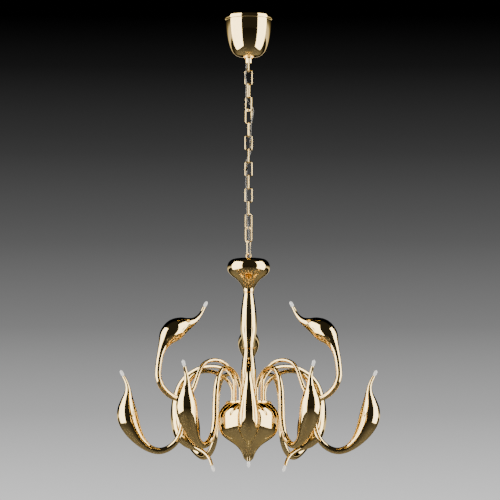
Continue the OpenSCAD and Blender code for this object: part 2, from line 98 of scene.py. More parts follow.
# Bores and the canopy's band, in metres.
ROD_BORE_RADIUS = 4.1 * MM
COLUMN_BORE_RADIUS = 10.6 * MM
CANOPY_HOLE_RADIUS = 12.7 * MM
CANOPY_BAND = 11 * MM
LINK_BEND = 6 * MM
BOWL_SEAT = 3 * MM

# The bulb: capsule and pins, in millimetres.
BULB_RADIUS = 4.7
BULB_LENGTH = 20
PIN_RADIUS = 0.4
PIN_LENGTH = 8
PIN_SIDE = 2

# Arm centrelines in millimetres: distance from the arm circle, height over the plate and
# radius in tube radii.
ARM_TUBE_RADIUS = 4.9
ARM_CIRCLE_RADIUS = 45
ARM_STUB = (0, -22, 1)
ARM_TURN = 30
ARM_ROUTES = {
    "middle": [
        (0, 2, 1), (0, 32, 1), (7, 50, 1), (20, 66, 1.03), (45, 81, 1.08), (73, 87, 1.15),
        (102, 81, 1.25), (124, 58, 1.4), (136, 24, 1.55), (140, -16, 1.62), (142, -62, 1.67),
        (150, -95, 1.72), (165, -119, 1.77), (188, -135, 1.83), (212, -139, 1.95),
        (238, -130, 2.3), (262, -109, 3.4), (282, -80, 5.0), (295, -50, 6.0), (299, -24, 5.6),
        (298, 1, 4.0), (296, 23, 2.3), (297, 42, 1.3), (302, 58, 0.95), (309, 72, 0.88),
    ],
    "upper": [
        (0, 2, 1), (0, 52, 1), (4, 69, 1), (12, 84, 1), (27, 101, 1.03), (50, 112, 1.06),
        (76, 112, 1.1), (99, 102, 1.13), (114, 82, 1.16), (125, 54, 1.2), (136, 28, 1.3),
        (153, 7, 1.45), (177, -1, 1.6), (201, 4, 1.7), (223, 18, 1.75), (239, 37, 1.75),
        (247, 62, 1.75), (245, 94, 1.8), (238, 127, 2.1), (228, 152, 3.3), (215, 174, 5.4),
        (195, 192, 6.2), (173, 204, 5.2), (149, 213, 3.2), (129, 223, 1.8), (112, 240, 1.02),
        (100, 261, 0.88),
    ],
    "lower": [
        (0, 2, 1), (0, 46, 1), (4, 64, 1), (13, 80, 1), (29, 95, 1.03), (55, 104, 1.08),
        (86, 106, 1.14), (117, 102, 1.22), (141, 92, 1.35), (161, 79, 1.5), (177, 61, 1.75),
        (186, 38, 2.4), (188, 14, 3.4), (185, -16, 4.7), (177, -50, 5.9), (165, -80, 6.2),
        (148, -104, 4.6), (128, -121, 2.4), (107, -134, 1.35), (91, -146, 1.02),
        (81, -160, 0.9), (75, -176, 0.88),
    ],
}

# Outlines of the turned pieces: radius in shares of the largest, depth in shares of the height.
CAP_SIDE = [
    (0.60, 0), (0.74, 0.010), (0.85, 0.045), (0.94, 0.11), (0.99, 0.19), (1, 0.255),
    (0.985, 0.33), (0.93, 0.41), (0.82, 0.49), (0.69, 0.555), (0.56, 0.62), (0.45, 0.70),
    (0.36, 0.78), (0.29, 0.86), (0.245, 0.93), (0.235, 1),
]
VASE_SIDE = [
    (0.60, 0), (0.66, 0.05), (0.74, 0.12), (0.83, 0.21), (0.91, 0.30), (0.965, 0.39),
    (0.995, 0.48), (1, 0.56), (0.98, 0.65), (0.93, 0.73), (0.86, 0.80), (0.77, 0.87),
    (0.68, 0.93), (0.61, 1),
]
LOWER_SIDE = [
    (0.63, 0), (0.67, 0.06), (0.74, 0.12), (0.81, 0.18), (0.87, 0.24), (0.93, 0.32),
    (0.975, 0.40), (1, 0.50), (1, 0.60), (0.985, 0.70), (0.97, 0.80), (0.955, 0.90), (0.95, 1),
]
BOWL_SIDE = [
    (0.735, 0), (0.81, 0.035), (0.90, 0.10), (0.965, 0.17), (0.995, 0.24), (1, 0.30),
    (0.99, 0.38), (0.965, 0.46), (0.92, 0.53), (0.84, 0.595), (0.73, 0.65), (0.60, 0.70),
    (0.47, 0.75), (0.36, 0.805), (0.275, 0.865), (0.21, 0.93), (0.165, 1),
]

# The supply cable's route in millimetres, from the terminal block to the transformer.
CABLE_ROUTE = [
    (-28, 0, -28.5), (-27.6, 0, -45), (-20, 0, -66), (-10, 0, -84), (-6.4, 0, -98),
    (-6.4, 0, -136), (-6.4, 0, -150), (-6.2, -5, -157), (-9, -6.4, -170), (-8.6, -6.2, -182),
    (-6.4, -5, -196), (-7.6, -4, -215), (-6.6, -2.6, -233), (-4, -2.2, -243),
    (2.6, -0.6, -252), (10, -0.8, -261), (13.4, -2, -271), (11.5, -3.4, -288),
    (7.4, -4.4, -308), (6.6, -5.6, -327), (5.6, -5.4, -346), (5.4, -4.6, -356),
    (4.2, 0, -366), (5.4, 4.6, -375), (5.4, 5.4, -384), (4.8, 5.4, -394), (0, 4.4, -403),
    (-4.6, 5.2, -412), (-5.4, 5.2, -421), (-5.2, 4.6, -431), (-4.4, 0, -440),
    (-5.4, -4.8, -449), (-5.4, -5.4, -459), (-7.6, -6.4, -478), (-5.4, -5.2, -497),
    (-6.6, -7, -516), (-5.2, -5.4, -534), (-5, -7.6, -553), (-4.8, -7.4, -572),
    (-3, -8.6, -590), (-0.6, -8, -609), (1.6, -8.6, -628), (2.2, -7.4, -647),
    (3.4, -8.6, -668), (3, -9, -690.7), (3, -9, -702.7), (1, -8, -728.7), (0, -7.4, -758.7),
]
# Its last points, with heights over the arm plate.
CABLE_END = [(0, -7.4, 153), (0, -7.4, 22), (0, -11.6, 7), (0, -11.6, -16), (0, -12.6, -35.5)]


def smooth_points(points, steps):
    """Points on a Catmull-Rom curve through the given ones, with that many steps a span."""
    rows = [Vector(p) for p in points]
    out = []
    for i in range(len(rows) - 1):
        a, b, c, d = rows[max(0, i - 1)], rows[i], rows[i + 1], rows[min(len(rows) - 1, i + 2)]
        for s in range(steps):
            t = s / steps
            out.append(
                0.5 * (2 * b + t * (c - a) + t * t * (2 * a - 5 * b + 4 * c - d)
                       + t * t * t * (3 * b - a - 3 * c + d))
            )
    return out + [rows[-1]]


# ---------------------------------------------------------------- settings


class ChandelierSizes(bpy.types.PropertyGroup):
    turn_steps: IntProperty(
        name="Turning steps", description="Steps round each turned piece", default=144, min=24
    )
    tube_sides: IntProperty(
        name="Tube sides", description="Sides of an arm's section", default=48, min=12
    )
    sheet: FloatProperty(
        name="Sheet", description="Thickness of the spun sheet", default=1.2 * MM, unit="LENGTH"
    )
    link_gap: FloatProperty(
        name="Link gap", description="Gap at each link's butt joint", default=0.25 * MM,
        unit="LENGTH",
    )
    cable_radius: FloatProperty(
        name="Cable radius", description="Radius of the supply cable", default=1.95 * MM,
        unit="LENGTH",
    )
    floor_drop: FloatProperty(
        name="Floor drop", description="Ceiling to floor", default=2.6, unit="LENGTH"
    )


def colour(name, description, default):
    return FloatVectorProperty(
        name=name, description=description, subtype="COLOR", size=3, min=0, max=1,
        default=default,
    )


class ChandelierColours(bpy.types.PropertyGroup):
    gold: colour("Gold", "Polished gold plate", (0.95, 0.70, 0.30))
    deep_gold: colour("Deep gold", "The plate where it is thinner", (0.92, 0.64, 0.25))
    zinc: colour("Zinc", "Plated fasteners", (0.62, 0.63, 0.62))
    strap: colour("Strap", "Brushed steel strap", (0.52, 0.52, 0.51))
    ceramic: colour("Ceramic", "Lamp sockets", (0.80, 0.77, 0.70))
    glass: colour("Glass", "Frosted bulb glass", (0.92, 0.91, 0.88))
    plastic: colour("Plastic", "Terminal block", (0.78, 0.77, 0.73))
    potting: colour("Potting", "Transformer case", (0.022, 0.022, 0.025))
    sheath: colour("Sheath", "Clear cable sheath over tinned cores", (0.34, 0.31, 0.25))
    silicone: colour("Silicone", "Lead wires", (0.74, 0.72, 0.68))
    floor: colour("Floor", "Studio floor", (0.70, 0.69, 0.67))


def sizes():
    return bpy.context.scene.chandelier_sizes


def colours():
    return bpy.context.scene.chandelier_colours


# ---------------------------------------------------------------- shader maths


class Value:
    """One socket of a finish, with arithmetic that adds Math nodes."""

    def __init__(self, finish, socket):
        self.finish = finish
        self.socket = socket

    def math(self, operation, *others, clamp=False):
        node = self.finish.node(
            "ShaderNodeMath", {"operation": operation, "use_clamp": clamp},
            {i: value for i, value in enumerate((self, *others))},
        )
        return node.out(0)

    def __add__(self, other):
        return self.math("ADD", other)

    __radd__ = __add__

    def __sub__(self, other):
        return self.math("SUBTRACT", other)

    def __rsub__(self, other):
        return self.finish.node(
            "ShaderNodeMath", {"operation": "SUBTRACT"}, {0: other, 1: self}
        ).out(0)

    def __mul__(self, other):
        return self.math("MULTIPLY", other)

    __rmul__ = __mul__

    def clamped(self):
        return self.math("ADD", 0.0, clamp=True)

    def ramp(self, *stops):
        """The value through a colour ramp of (position, grey or colour) stops."""
        return self.finish.ramp(self, stops)


class Made:
    """A node that was made, with its outputs as values."""

    def __init__(self, finish, node):
        self.finish = finish
        self.made = node

    def out(self, key):
        return Value(self.finish, self.made.outputs[key])


class Finish:
    """A material or world whose nodes are made one after another."""

    def __init__(self, owner):
        owner.use_nodes = True
        self.owner = owner
        self.tree = owner.node_tree
        self.tree.nodes.clear()

    def node(self, kind, settings=None, inputs=None):
        node = self.tree.nodes.new(kind)
        for key, value in (settings or {}).items():
            setattr(node, key, value)
        for key, value in (inputs or {}).items():
            if isinstance(value, Value):
                self.tree.links.new(value.socket, node.inputs[key])
            else:
                node.inputs[key].default_value = value
        return Made(self, node)

    def ramp(self, value, stops):
        node = self.node("ShaderNodeValToRGB", {}, {"Fac": value})
        ramp = node.made.color_ramp
        while len(ramp.elements) < len(stops):
            ramp.elements.new(0.5)
        for element, (position, shade) in zip(ramp.elements, stops):
            element.position = position
            element.color = (shade,) * 3 + (1,) if isinstance(shade, (int, float)) else (*shade, 1)
        return node.out("Color")

    def place(self):
        return self.node("ShaderNodeTexCoord").out("Object")

    def stretched(self, place, scale):
        return self.node("ShaderNodeMapping", {}, {"Vector": place, "Scale": scale}).out("Vector")

    def noise(self, place, scale, detail=2.0, roughness=0.5):
        return self.node(
            "ShaderNodeTexNoise", {},
            {"Vector": place, "Scale": scale, "Detail": detail, "Roughness": roughness},
        ).out("Fac")

    def mix(self, mask, first, second):
        settings = {"data_type": "RGBA"}
        node = self.node("ShaderNodeMix", settings, {0: mask})
        for index, shade in ((6, first), (7, second)):
            if isinstance(shade, Value):
                self.tree.links.new(shade.socket, node.made.inputs[index])
            else:
                node.made.inputs[index].default_value = (*shade, 1)
        return node.out(2)

    def bump(self, height, strength, distance):
        return self.node(
            "ShaderNodeBump", {}, {"Height": height, "Strength": strength, "Distance": distance}
        ).out("Normal")

    def surface(self, **inputs):
        keys = {key.replace("_", " "): value for key, value in inputs.items()}
        shader = self.node("ShaderNodeBsdfPrincipled", {}, keys)
        self.node("ShaderNodeOutputMaterial", {}, {"Surface": shader.out("BSDF")})
        return self.owner


def material(name, make):
    """The named material, made the first time it is asked for."""
    found = bpy.data.materials.get(name)
    if found:
        return found
    return make(Finish(bpy.data.materials.new(name)))


# ---------------------------------------------------------------- finishes


def polished_gold(name, haze, wipe):
    """Mirror gold plate: faint cloudy tone, wiping marks in the gloss and a slight waviness."""

    def make(finish):
        place = finish.place()
        cloud = finish.noise(place, 9.0, 3.0)
        marks = finish.noise(finish.stretched(place, (60.0, 60.0, 420.0)), 1.0, 3.0)
        tone = finish.mix(cloud.ramp((0.35, 0.0), (0.75, 1.0)), colours().gold, colours().deep_gold)
        rough = haze + wipe * cloud + 0.5 * wipe * marks
        return finish.surface(
            Base_Color=tone, Metallic=1.0, Roughness=rough, Specular_Tint=(1.0, 0.84, 0.5, 1),
            Normal=finish.bump(finish.noise(place, 22.0, 1.0), 0.04, 0.0005),
        )

    return material(name, make)


def gold():
    return polished_gold("polished_gold", 0.03, 0.03)


def chain_gold():
    return polished_gold("chain_gold", 0.12, 0.10)


def brushed_metal(name, shade, rough, grain):
    """Plated or brushed metal with a grain in the given direction."""

    def make(finish):
        place = finish.place()
        lines = finish.noise(finish.stretched(place, grain), 1.0, 4.0, 0.7)
        patches = finish.noise(place, 60.0, 2.0)
        dark = tuple(0.72 * part for part in shade)
        tone = finish.mix((0.6 * lines + 0.4 * patches).clamped(), dark, shade)
        return finish.surface(
            Base_Color=tone, Metallic=1.0, Roughness=rough + 0.18 * lines,
            Normal=finish.bump(lines, 0.12, 0.0002),
        )

    return material(name, make)


def zinc():
    return brushed_metal("zinc_plate", colours().zinc, 0.28, (900.0, 900.0, 900.0))


def strap_steel():
    return brushed_metal("strap_steel", colours().strap, 0.32, (60.0, 2600.0, 2600.0))


def ceramic():
    def make(finish):
        place = finish.place()
        grit = finish.noise(place, 2400.0, 2.0)
        tone = finish.mix(grit, tuple(0.86 * part for part in colours().ceramic), colours().ceramic)
        return finish.surface(
            Base_Color=tone, Roughness=0.5 + 0.2 * grit, Normal=finish.bump(grit, 0.2, 0.0001)
        )

    return material("steatite", make)


def frosted_glass():
    def make(finish):
        place = finish.place()
        frost = finish.noise(place, 3000.0, 2.0)
        tone = finish.mix(
            finish.noise(place, 160.0), tuple(0.94 * part for part in colours().glass),
            colours().glass,
        )
        return finish.surface(
            Base_Color=tone, Roughness=0.32 + 0.2 * frost, Coat_Weight=0.3 + 0.2 * frost,
            Normal=finish.bump(frost, 0.1, 0.0001),
            Emission_Color=(1.0, 0.98, 0.94, 1), Emission_Strength=1.1,
        )

    return material("capsule_frost", make)


def moulded_plastic(name, shade, rough, grain_scale):
    def make(finish):
        place = finish.place()
        grain = finish.noise(place, grain_scale, 3.0)
        flow = finish.noise(place, 40.0, 2.0)
        tone = finish.mix(flow, tuple(0.88 * part for part in shade), shade)
        return finish.surface(
            Base_Color=tone, Roughness=rough + 0.15 * grain,
            Normal=finish.bump(grain, 0.15, 0.0002),
        )

    return material(name, make)


def terminal_plastic():
    return moulded_plastic("nylon_moulding", colours().plastic, 0.38, 1500.0)


def potting():
    return moulded_plastic("resin_case", colours().potting, 0.45, 900.0)


def silicone():
    return moulded_plastic("silicone", colours().silicone, 0.5, 1200.0)


def clear_sheath():
    """Glossy sheath with the twist of the tinned cores showing through."""

    def make(finish):
        place = finish.place()
        twist = finish.node(
            "ShaderNodeTexWave", {"bands_direction": "DIAGONAL", "wave_profile": "SIN"},
            {"Vector": place, "Scale": 95.0, "Distortion": 1.5, "Detail": 1.0},
        ).out("Fac")
        tone = finish.mix(twist, tuple(0.55 * part for part in colours().sheath), colours().sheath)
        return finish.surface(
            Base_Color=tone, Roughness=0.12 + 0.1 * twist, Metallic=0.35 * twist,
            Coat_Weight=0.6, Normal=finish.bump(twist, 0.25, 0.0004),
        )

    return material("clear_sheath", make)


def studio_floor():
    def make(finish):
        place = finish.place()
        paper = finish.noise(place, 220.0, 3.0)
        tone = finish.mix(
            finish.noise(place, 0.8), tuple(0.96 * part for part in colours().floor),
            colours().floor,
        )
        return finish.surface(
            Base_Color=tone, Roughness=0.8 + 0.1 * paper, Normal=finish.bump(paper, 0.05, 0.001)
        )

    return material("studio_floor", make)


# ---------------------------------------------------------------- mesh tools


def finished(bm, name, *finishes, smooth_angle=38):
    """The bmesh as a smooth-shaded object with its sharp edges kept, at the origin."""
    mesh = bpy.data.meshes.new(name)
    bm.to_mesh(mesh)
    bm.free()
    mesh.shade_smooth()
    mesh.set_sharp_from_angle(angle=math.radians(smooth_angle))
    for finish in finishes:
        mesh.materials.append(finish)
    piece = bpy.data.objects.new(name, mesh)
    bpy.context.scene.collection.objects.link(piece)
    return piece


def stands_for(piece, body, slot, *nodes):
    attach(piece, body)
    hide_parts(*nodes)
    return piece


def turned(bm, geom, steps):
    """Turns vertices and edges once round the vertical axis."""
    bmesh.ops.spin(
        bm, geom=geom, cent=(0, 0, 0), axis=(0, 0, 1), angle=2 * math.pi, steps=steps,
        use_merge=True,
    )
    bmesh.ops.remove_doubles(bm, verts=bm.verts[:], dist=MERGE_DISTANCE)


def spun(bm, outline, closed, steps=None, z=0.0):
    """Turns an outline of (radius, height) points once round the vertical axis."""
    steps = steps or sizes().turn_steps
    verts = [bm.verts.new((max(0.0, r), 0, z + h)) for r, h in outline]
    pairs = list(zip(verts, verts[1:])) + ([(verts[-1], verts[0])] if closed else [])
    edges = [bm.edges.new(pair) for pair in pairs]
    turned(bm, verts + edges, steps)
    bmesh.ops.recalc_face_normals(bm, faces=bm.faces[:])


def frames_along(path, side):
    """A placing matrix at each (point, radius) of a path, turned as little as possible."""
    points = [Vector(p) for p, _ in path]
    out = []
    side = Vector(side)
    for i, (point, radius) in enumerate(path):
        ahead = points[min(i + 1, len(points) - 1)]
        behind = points[max(i - 1, 0)]
        along = (ahead - behind).normalized()
        side = (side - side.dot(along) * along).normalized()
        across = along.cross(side)
        turn = Matrix((side, across, along)).transposed().to_4x4()
        out.append(Matrix.Translation(point) @ turn @ Matrix.Diagonal((radius, radius, radius, 1)))
    return out


def extruded(bm, edges):
    """Extrudes a ring of edges and returns the new ring's vertices and edges."""
    made = bmesh.ops.extrude_edge_only(bm, edges=edges)["geom"]
    verts = [item for item in made if isinstance(item, bmesh.types.BMVert)]
    ring = set(verts)
    edges = [
        item for item in made
        if isinstance(item, bmesh.types.BMEdge) and ring.issuperset(item.verts)
    ]
    return verts, edges


def swept(bm, path, side, sides, fill=True):
    """Extrudes a ring along a path of (point, radius); returns the first and last rings' edges."""
    frames = frames_along(path, side)
    ring = bmesh.ops.create_circle(bm, segments=sides, radius=1.0, matrix=frames[0])
    verts = ring["verts"]
    edges = list({edge for vert in verts for edge in vert.link_edges})
    first = edges
    for before, after in zip(frames, frames[1:]):
        verts, edges = extruded(bm, edges)
        bmesh.ops.transform(bm, matrix=after @ before.inverted(), verts=verts)
    if fill:
        bmesh.ops.holes_fill(bm, edges=first + edges, sides=0)
        bmesh.ops.recalc_face_normals(bm, faces=bm.faces[:])
    return first, edges


def side_curve(outline, radius, height, steps=10):
    """A turned piece's outline in metres, smoothed."""
    return [(p.x * radius, -p.y * height) for p in smooth_points(outline, steps)]


def inner_side(curve, wall):
    """The same curve one wall thickness further in, from its end back to its start."""
    out = []
    for i in range(len(curve) - 1, -1, -1):
        a = Vector(curve[max(0, i - 1)])
        b = Vector(curve[min(len(curve) - 1, i + 1)])
        along = (b - a).normalized()
        out.append((curve[i][0] + wall * along.y, curve[i][1] - wall * along.x))
    return out


# ---------------------------------------------------------------- ceiling fitting


def canopy_outline():
    """The canopy's outside from the ceiling to its lower hole, in metres."""
    lo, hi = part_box("canopy")
    r, height = hi.x / MM, -lo.z / MM
    seat, band = radius_of("canopy_ring") / MM, CANOPY_BAND / MM
    points = [(r - 1.5, 0), (r - 0.5, -0.4), (r, -1.5), (r, -band + 2), (r - 0.4, -band + 1),
              (r - 1.2, -band + 0.4)]
    for step in range(2, 90):
        t = math.radians(step)
        points.append((
            seat + (r - 2 - seat) * math.cos(t) ** 0.62,
            -band - (height - band) * math.sin(t) ** 1.25,
        ))
    points.append((seat, -height))
    return [(x * MM, z * MM) for x, z in points]


class CHANDELIER_OT_canopy(bpy.types.Operator):
    """Spins the canopy that covers the ceiling fitting"""

    bl_idname = "chandelier.canopy"
    bl_label = "Canopy"

    def execute(self, context):
        wall = sizes().sheet
        hole = CANOPY_HOLE_RADIUS
        outside = canopy_outline()
        inside = [(r - wall, min(0.0, z + 0.3 * wall)) for r, z in reversed(outside[:-1])]
        inside = [(max(r, hole), max(z, outside[-1][1] + wall)) for r, z in inside]
        low = outside[-1][1]
        bm = bmesh.new()
        spun(bm, outside + [(hole, low), (hole, low + wall)] + inside, True)
        piece = finished(bm, "canopy_shell", gold())
        stands_for(piece, "ceiling_fitting", "gold", "canopy")
        return {"FINISHED"}


# ---------------------------------------------------------------- chain


def link_path(half, bend, length, gap):
    """Centreline of a link hanging from z = 0, from its butt joint round to the joint again."""
    points = [Vector((-half, 0, -length / 2 - gap / 2))]
    corners = [(-1, -1, 180), (1, -1, 270), (1, 1, 0), (-1, 1, 90)]
    for x, z, start in corners:
        centre = Vector((x * (half - bend), 0, -length / 2 + z * (length / 2 - bend)))
        for step in range(CORNER_STEPS + 1):
            a = math.radians(start + 90 * step / CORNER_STEPS)
            points.append(centre + bend * Vector((math.cos(a), 0, math.sin(a))))
    return points + [Vector((-half, 0, -length / 2 + gap / 2))]


class CHANDELIER_OT_chain(bpy.types.Operator):
    """Bends the links from wire, each with its butt joint"""

    bl_idname = "chandelier.chain"
    bl_label = "Chain"

    def execute(self, context):
        lo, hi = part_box("link_02")
        wire = (hi.y - lo.y) / 2
        half = (hi.x - lo.x) / 2 - wire
        length = hi.z - lo.z - 2 * wire
        path = link_path(half, LINK_BEND, length, sizes().link_gap)
        pattern = bmesh.new()
        swept(pattern, [(point, wire) for point in path], (0, 1, 0), 20)
        for name, below in zip(LINKS, [*LINKS[1:], "lamp"]):
            axis = JOINTS[below + "_swing"]["axis"]
            turn = math.atan2(axis[1], axis[0])
            place = Matrix.Translation((0, 0, top(name) - wire)) @ Matrix.Rotation(turn, 4, "Z")
            bm = pattern.copy()
            bmesh.ops.transform(bm, matrix=place, verts=bm.verts[:])
            piece = finished(bm, name + "_wire", chain_gold())
            stands_for(piece, name, "gold", name)
        return {"FINISHED"}


class CHANDELIER_OT_cable(bpy.types.Operator):
    """Threads the supply cable through the chain, in one length for each joint it crosses"""

    bl_idname = "chandelier.cable"
    bl_label = "Supply cable"

    def execute(self, context):
        plate = PLATE_TOP / MM
        ending = [(x, y, plate + height) for x, y, height in CABLE_END]
        route = [point * MM for point in smooth_points(CABLE_ROUTE + ending, ROUTE_STEPS)]
        bodies = ["ceiling_fitting", *LINKS, "lamp"]
        half_link = (top(LINKS[0]) - bottom(LINKS[0])) / 2
        # the cable is cut at the middle of each link
        cuts = [0.0, *[top(name) - half_link for name in LINKS], -2.0]
        cuts[1] = bottom("hanger") - 13 * MM
        for index, (above, below) in enumerate(zip(cuts, cuts[1:])):
            span = [point for point in route if below <= point.z <= above]
            first = min(range(len(route)), key=lambda i: (route[i] - span[0]).length)
            last = first + len(span)
            span = route[max(0, first - (index > 0)):last]
            if index > 0:
                span[0] = self.at_height(route[first - 1], route[first], above)
            if last < len(route):
                span.append(self.at_height(route[last - 1], route[last], below))
            bm = bmesh.new()
            swept(bm, [(point, sizes().cable_radius) for point in span], (0, 1, 0), 16)
            name = "supply_cable_%02d" % (index + 1)
            piece = finished(bm, name, clear_sheath())
            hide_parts("supply_cable")
            start, end = self.bend(index, bodies)
            bodies[index + 1]
            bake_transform(piece)
        return {"FINISHED"}

    def at_height(self, a, b, z):
        return a.lerp(b, (z - a.z) / (b.z - a.z))

    def bend(self, index, bodies):
        """Heights between which the cable bends across a joint."""
        if index == 0:
            return bottom("hanger"), bottom("hanger") - 12 * MM
        pivot = JOINTS[bodies[index + 1] + "_swing"]["pos_m"][2]
        return pivot + 8 * MM, pivot - 9 * MM


# ---------------------------------------------------------------- column and bowl


class CHANDELIER_OT_column(bpy.types.Operator):
    """Turns the top loop, cap, rings, vase and lower column"""

    bl_idname = "chandelier.column"
    bl_label = "Column"

    def execute(self, context):
        bore = COLUMN_BORE_RADIUS
        self.top_loop()
        self.cap(bore)
        for name, outline in (("column_vase", VASE_SIDE), ("column_lower", LOWER_SIDE)):
            height = top(name) - bottom(name)
            curve = side_curve(outline, radius_of(name), height)
            bm = bmesh.new()
            spun(bm, curve + [(bore, -height), (bore, 0)], True, z=top(name))
            piece = finished(bm, name + "_turned", gold())
            stands_for(piece, "lamp", "gold", name)
        self.rings(bore)
        return {"FINISHED"}

    def top_loop(self):
        lo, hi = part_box("top_loop")
        wire, ring = 1.9 * MM, 6.5 * MM
        swing = JOINTS["lamp_swing"]["axis"]
        turn = math.atan2(swing[1], swing[0]) + math.pi / 2
        bm = bmesh.new()
        circle = bmesh.ops.create_circle(
            bm, segments=20, radius=wire,
            matrix=Matrix.Translation((ring, 0, 0)) @ Matrix.Rotation(math.pi / 2, 4, "X"),
        )
        verts = circle["verts"]
        edges = list({edge for vert in verts for edge in vert.link_edges})
        turned(bm, verts + edges, SMALL_TURN_STEPS)
        place = (
            Matrix.Translation((0, 0, hi.z - ring - wire)) @ Matrix.Rotation(turn, 4, "Z")
            @ Matrix.Rotation(math.pi / 2, 4, "X")
        )
        bmesh.ops.transform(bm, matrix=place, verts=bm.verts[:])
        bmesh.ops.recalc_face_normals(bm, faces=bm.faces[:])
        loop = finished(bm, "top_loop_ring", gold())
        stands_for(loop, "lamp", "gold", "top_loop")
        bm = bmesh.new()
        outline = [(0, 4), (6, 4), (7.6, 3.5), (8.6, 2.5), (9, 1.2), (9, 0), (0, 0)]
        spun(bm, [(r * MM, h * MM) for r, h in outline], False, SMALL_TURN_STEPS, lo.z)
        base = finished(bm, "top_loop_boss", gold())
        stands_for(base, "lamp", "gold", "top_loop")

    def cap(self, bore):
        wall = sizes().sheet
        height = top("cap") - bottom("cap")
        outside = side_curve(CAP_SIDE, radius_of("cap"), height)
        inside = [
            (r, h) for r, h in inner_side(outside, wall) if r > bore and -height < h < -wall
        ]
        closing = [(bore, -height), (bore, -height + wall)] + inside + [(bore, -wall), (bore, 0)]
        bm = bmesh.new()
        spun(bm, outside + closing, True, z=top("cap"))
        piece = finished(bm, "cap_shell", gold())
        stands_for(piece, "lamp", "gold", "cap")

    def rings(self, bore):
        lo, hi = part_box("column_rings")
        half = 2.5 * MM
        bm = bmesh.new()
        for middle in (hi.z - half, lo.z + half):
            reach = hi.x - half
            outline = [(bore, -half), (reach - 1 * MM, -half)]
            for step in range(CORNER_STEPS + 1):
                a = math.radians(-90 + 180 * step / CORNER_STEPS)
                outline.append((reach + half * math.cos(a), half * math.sin(a)))
            outline += [(reach - 1 * MM, half), (bore, half)]
            spun(bm, outline, True, z=middle)
        piece = finished(bm, "column_ring_mouldings", gold())
        stands_for(piece, "lamp", "gold", "column_rings")


class CHANDELIER_OT_bowl(bpy.types.Operator):
    """Turns the bowl and its end knob"""

    bl_idname = "chandelier.bowl"
    bl_label = "Bowl"

    def execute(self, context):
        wall = sizes().sheet
        height = top("bowl") - bottom("bowl")
        radius = radius_of("bowl")
        outside = side_curve(BOWL_SIDE, radius, height)
        seat = -height + BOWL_SEAT
        inside = [(r, min(0.0, h)) for r, h in inner_side(outside, wall) if h > seat]
        closing = [(ROD_BORE_RADIUS, -height), (ROD_BORE_RADIUS, seat)] + inside
        bm = bmesh.new()
        spun(bm, outside + closing, True, z=top("bowl"))
        piece = finished(bm, "bowl_shell", gold())
        stands_for(piece, "lamp", "gold", "bowl")
        self.knob(outside[-1][0])
        return {"FINISHED"}

    def knob(self, radius):
        height = top("end_knob") - bottom("end_knob")
        outline = [(1, 0), (0.93, 0.18), (0.8, 0.38), (0.62, 0.59), (0.42, 0.79), (0.2, 0.94)]
        curve = side_curve(outline, radius, height, 8)
        curve += [(0.11 * radius, -0.985 * height), (0, -height)]
        bm = bmesh.new()
        spun(bm, [(0, 0)] + curve, False, z=top("end_knob"))
        piece = finished(bm, "end_knob_turned", gold())
        stands_for(piece, "lamp", "gold", "end_knob")


# ---------------------------------------------------------------- arms and bulbs


def arm_path(kind):
    """An arm's centreline in its own upright plane, as (point, radius) in metres."""
    out = []
    for r, h, thick in smooth_points([ARM_STUB, *ARM_ROUTES[kind]], ARM_STEPS):
        point = Vector((ARM_CIRCLE_RADIUS + r, 0, h)) * MM
        out.append((point + Vector((0, 0, PLATE_TOP)), thick * ARM_TUBE_RADIUS * MM))
    return out


def turned_to(index):
    return Matrix.Rotation(math.radians(ARM_TURN * index), 4, "Z")


class CHANDELIER_OT_arms(bpy.types.Operator):
    """Sweeps the swan-neck arms, with a bore at the beak"""

    bl_idname = "chandelier.arms"
    bl_label = "Arms"

    def execute(self, context):
        patterns = {}
        for kind in ARM_ROUTES:
            bm = patterns[kind] = bmesh.new()
            first, last = swept(bm, arm_path(kind), (0, 1, 0), sizes().tube_sides, fill=False)
            self.close_beak(bm, last, kind)
            bmesh.ops.holes_fill(bm, edges=first, sides=0)
            bmesh.ops.recalc_face_normals(bm, faces=bm.faces[:])
        for index, name in enumerate(ARMS):
            bm = patterns[name.split("_")[0]].copy()
            bmesh.ops.transform(bm, matrix=turned_to(index), verts=bm.verts[:])
            piece = finished(bm, name + "_neck", gold())
            stands_for(piece, "lamp", "gold", name)
        return {"FINISHED"}

    def close_beak(self, bm, edges, kind):
        """Turns the open end in over a rim and back down a bore, and closes the bore."""
        path = arm_path(kind)
        (before, _), (end, radius) = path[-2], path[-1]
        along = (end - before).normalized()
        for scale, shift in ((0.97, 0.0003), (0.88, 0.0004), (0.80, 0.0), (1.0, -0.012)):
            verts, edges = extruded(bm, edges)
            centre = sum((v.co for v in verts), Vector()) / len(verts)
            bmesh.ops.scale(
                bm, vec=(scale,) * 3, space=Matrix.Translation(-centre), verts=verts
            )
            bmesh.ops.translate(bm, vec=along * shift, verts=verts)
        bmesh.ops.holes_fill(bm, edges=edges, sides=0)


